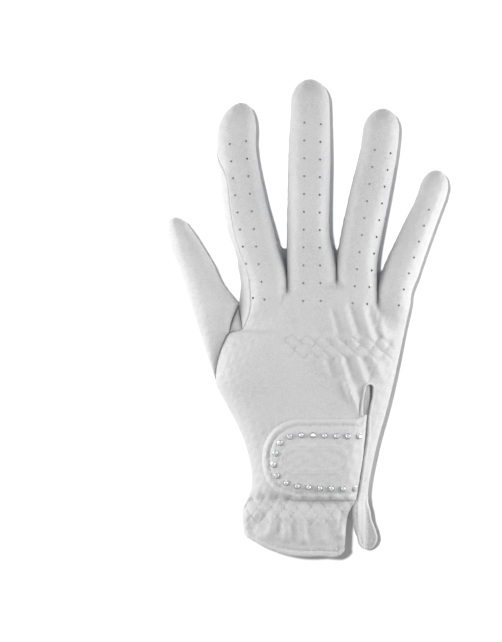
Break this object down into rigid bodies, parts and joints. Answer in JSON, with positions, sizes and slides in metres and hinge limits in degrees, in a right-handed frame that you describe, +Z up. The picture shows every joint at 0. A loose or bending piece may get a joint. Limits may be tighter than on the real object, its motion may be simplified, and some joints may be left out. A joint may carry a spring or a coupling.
{
  "type": "horse riding glove",
  "caption": "Right-hand riding glove of pale synthetic leather with perforated finger backs, a wrist strap set with small stones and an open cuff, lying on its palm.",
  "frame": {"origin": "on the surface that the glove lies on, under the middle of the palm", "axes": "+X towards the little finger, +Y towards the fingertips, +Z up through the back of the hand"},
  "size_m": [0.1404, 0.2383, 0.0249],
  "materials": {
    "synthetic_leather": "matt fine-grained white synthetic leather",
    "trim_leather": "smoother bright white synthetic leather",
    "stretch_fabric": "fine white stretch knit",
    "crystal": "clear faceted glass in small silver cups"
  },
  "bodies": {
    "root": {"back_panel": "synthetic_leather", "palm_panel": "synthetic_leather", "thumb": "synthetic_leather", "thumb_gusset": "synthetic_leather", "index_side_band": "trim_leather", "wrist_strap": "trim_leather", "keyhole_binding": "trim_leather", "pull_tab": "trim_leather", "fourchette_index_middle": "stretch_fabric", "fourchette_middle_ring": "stretch_fabric", "fourchette_ring_little": "stretch_fabric", "stone_01": "crystal", "stone_02": "crystal", "stone_03": "crystal", "stone_04": "crystal", "stone_05": "crystal", "stone_06": "crystal", "stone_07": "crystal", "stone_08": "crystal", "stone_09": "crystal", "stone_10": "crystal", "stone_11": "crystal", "stone_12": "crystal", "stone_13": "crystal", "stone_14": "crystal", "stone_15": "crystal", "stone_16": "crystal", "stone_17": "crystal", "stone_18": "crystal"}
  },
  "joints": []
}
